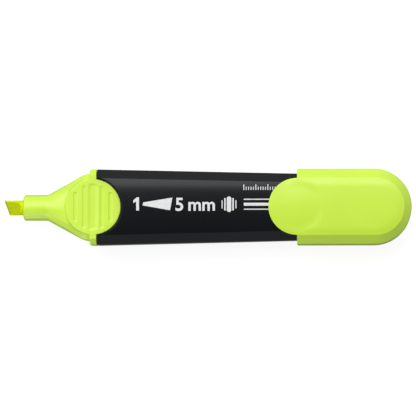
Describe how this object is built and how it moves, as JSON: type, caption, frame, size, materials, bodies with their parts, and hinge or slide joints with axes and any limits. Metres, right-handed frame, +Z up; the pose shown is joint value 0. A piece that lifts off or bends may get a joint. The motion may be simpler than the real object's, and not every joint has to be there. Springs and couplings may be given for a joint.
{
  "type": "highlighter pen",
  "caption": "Flat chisel-nib highlighter: tapered dark barrel, bright front section with grooved thumb discs, and a round-ended cap posted on the rear end.",
  "frame": {"origin": "under the middle of the whole length with the cap posted, on the surface that the pen lies on", "axes": "+X from the nib to the closed end of the cap, +Y across the width towards the nib's long corner, +Z up out of the upper face"},
  "size_m": [0.1358, 0.0252, 0.016],
  "materials": {
    "black_plastic": "satin injection-moulded polypropylene",
    "lime_plastic": "satin injection-moulded polypropylene in a fluorescent yellow-green",
    "inked_felt": "bonded polyester fibre wet with ink",
    "inked_fibre": "loose polyester fibre wet with ink",
    "clear_film": "thin clear film",
    "natural_polyethylene": "soft undyed polyethylene"
  },
  "bodies": {
    "pen": {"barrel": "black_plastic", "front_section": "lime_plastic", "nib": "inked_felt", "reservoir_core": "inked_fibre", "reservoir_film": "clear_film", "rear_plug": "black_plastic"},
    "cap": {"cap_shell": "lime_plastic", "cap_inner_seal": "natural_polyethylene"}
  },
  "joints": [
    {"name": "cap_pull", "type": "slide", "parent": "pen", "child": "cap", "axis": [1, 0, 0], "range_m": [0, 0.035]}
  ]
}
